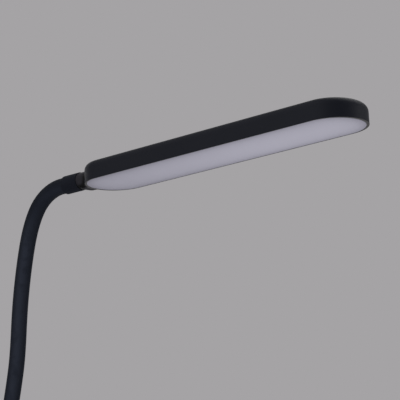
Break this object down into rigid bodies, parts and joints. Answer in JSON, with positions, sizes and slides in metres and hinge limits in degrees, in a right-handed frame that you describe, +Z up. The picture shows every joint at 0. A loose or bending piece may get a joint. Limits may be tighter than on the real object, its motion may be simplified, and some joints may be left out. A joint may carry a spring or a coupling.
{
  "type": "floor lamp",
  "caption": "Floor lamp with a weighted round base, a screwed pole, push buttons, a flexible arm that bends and swings, and a flat oblong light head.",
  "frame": {"origin": "middle of the underside of the base, on the floor", "axes": "+Z up along the pole, +X the way the head reaches"},
  "size_m": [0.5547, 0.24, 1.448],
  "materials": {
    "black_paint": "fine matt powder coat",
    "cast_iron": "raw casting",
    "plate_plastic": "moulded",
    "foam": "closed-cell foam sheet",
    "zinc_steel": "bright zinc plate",
    "grommet_rubber": "moulded",
    "terminal_plastic": "moulded",
    "lead_pvc": "extruded",
    "control_plastic": "fine texture",
    "button_plastic": "satin",
    "board": "solder mask",
    "switch_plastic": "moulded",
    "sleeve": "smooth matt shrink sleeve",
    "core_steel": "wound steel",
    "black_aluminium": "matt black paint",
    "opal": "opal, satin",
    "tray_plastic": "white, moulded",
    "led_board": "white solder mask",
    "led": "phosphor"
  },
  "bodies": {
    "stand": {"base_cover": "black_paint", "pole_collar": "black_paint", "pole_lower": "black_paint", "pole_middle": "black_paint", "pole_upper": "black_paint", "control_cap_lower": "black_paint", "control_cap_upper": "black_paint", "base_weight": "cast_iron", "base_plate": "plate_plastic", "base_pad": "foam", "base_screws": "zinc_steel", "base_stud": "zinc_steel", "base_washer": "zinc_steel", "base_nut": "zinc_steel", "pole_inserts": "zinc_steel", "pole_studs": "zinc_steel", "cable_grommet": "grommet_rubber", "terminal_block": "terminal_plastic", "pole_lead": "lead_pvc", "arm_lead": "lead_pvc", "control_housing": "control_plastic", "control_panel": "control_plastic", "control_board": "board", "push_switches": "switch_plastic", "arm_sleeve_00": "sleeve", "arm_core_00": "core_steel", "foot_ferrule": "black_aluminium"},
    "link_1": {"arm_sleeve_01": "sleeve", "arm_core_01": "core_steel"},
    "link_2": {"arm_sleeve_02": "sleeve", "arm_core_02": "core_steel"},
    "link_3": {"arm_sleeve_03": "sleeve", "arm_core_03": "core_steel"},
    "link_4": {"arm_sleeve_04": "sleeve", "arm_core_04": "core_steel"},
    "link_5": {"arm_sleeve_05": "sleeve", "arm_core_05": "core_steel"},
    "link_6": {"arm_sleeve_06": "sleeve", "arm_core_06": "core_steel"},
    "link_7": {"arm_sleeve_07": "sleeve", "arm_core_07": "core_steel"},
    "link_8": {"arm_sleeve_08": "sleeve", "arm_core_08": "core_steel"},
    "link_9": {"arm_sleeve_09": "sleeve", "arm_core_09": "core_steel"},
    "head": {"neck_washer": "zinc_steel", "neck_nut": "zinc_steel", "head_lead": "lead_pvc", "arm_sleeve_10": "sleeve", "arm_core_10": "core_steel", "head_ferrule": "black_aluminium", "head_neck": "black_aluminium", "head_housing": "black_aluminium", "head_diffuser": "opal", "light_tray": "tray_plastic", "led_board": "led_board", "leds": "led"},
    "power": {"power_button": "button_plastic"},
    "brighter": {"brighter_button": "button_plastic"},
    "dimmer": {"dimmer_button": "button_plastic"}
  },
  "joints": [
    {"name": "arm_lower_tilt", "type": "hinge", "parent": "stand", "child": "link_1", "pos_m": [0, 0, 1.084], "axis": [0, 1, 0], "range_deg": [-15, 15]},
    {"name": "arm_lower_swing", "type": "hinge", "parent": "link_1", "child": "link_2", "pos_m": [0.00279, 0, 1.1239], "axis": [0.9936, 0, -0.1132], "range_deg": [-14, 14]},
    {"name": "arm_lower_tilt_2", "type": "hinge", "parent": "link_2", "child": "link_3", "pos_m": [0.00905, 0, 1.16341], "axis": [0, 1, 0], "range_deg": [-15, 15]},
    {"name": "arm_lower_swing_2", "type": "hinge", "parent": "link_3", "child": "link_4", "pos_m": [0.01702, 0, 1.20261], "axis": [0.9813, 0, -0.1925], "range_deg": [-14, 14]},
    {"name": "arm_upper_tilt", "type": "hinge", "parent": "link_4", "child": "link_5", "pos_m": [0.02445, 0, 1.24191], "axis": [0, 1, 0], "range_deg": [-18, 12]},
    {"name": "arm_upper_swing", "type": "hinge", "parent": "link_5", "child": "link_6", "pos_m": [0.02766, 0, 1.28178], "axis": [0.9974, 0, -0.0715], "range_deg": [-13, 13]},
    {"name": "arm_upper_tilt_2", "type": "hinge", "parent": "link_6", "child": "link_7", "pos_m": [0.03017, 0, 1.3217], "axis": [0, 1, 0], "range_deg": [-18, 12]},
    {"name": "arm_upper_swing_2", "type": "hinge", "parent": "link_7", "child": "link_8", "pos_m": [0.03608, 0, 1.36126], "axis": [0.9703, 0, -0.2419], "range_deg": [-13, 13]},
    {"name": "arm_upper_tilt_3", "type": "hinge", "parent": "link_8", "child": "link_9", "pos_m": [0.04943, 0, 1.39897], "axis": [0, 1, 0], "range_deg": [-18, 12]},
    {"name": "arm_upper_swing_3", "type": "hinge", "parent": "link_9", "child": "head", "pos_m": [0.08213, 0, 1.41916], "axis": [0.0628, 0, -0.998], "range_deg": [-13, 13]},
    {"name": "power_press", "type": "slide", "parent": "stand", "child": "power", "axis": [-1, 0, 0], "range_m": [0, 0.0008], "stiffness_N_per_m": 1500, "springref_m": -0.0005},
    {"name": "brighter_press", "type": "slide", "parent": "stand", "child": "brighter", "axis": [-1, 0, 0], "range_m": [0, 0.0008], "stiffness_N_per_m": 1500, "springref_m": -0.0005},
    {"name": "dimmer_press", "type": "slide", "parent": "stand", "child": "dimmer", "axis": [-1, 0, 0], "range_m": [0, 0.0008], "stiffness_N_per_m": 1500, "springref_m": -0.0005}
  ],
  "couplings": [
    {"joint": "arm_lower_tilt_2", "follows": "arm_lower_tilt", "ratio": 1},
    {"joint": "arm_lower_swing_2", "follows": "arm_lower_swing", "ratio": 1},
    {"joint": "arm_upper_tilt_2", "follows": "arm_upper_tilt", "ratio": 1},
    {"joint": "arm_upper_swing_2", "follows": "arm_upper_swing", "ratio": 1},
    {"joint": "arm_upper_tilt_3", "follows": "arm_upper_tilt", "ratio": 1},
    {"joint": "arm_upper_swing_3", "follows": "arm_upper_swing", "ratio": 1}
  ]
}
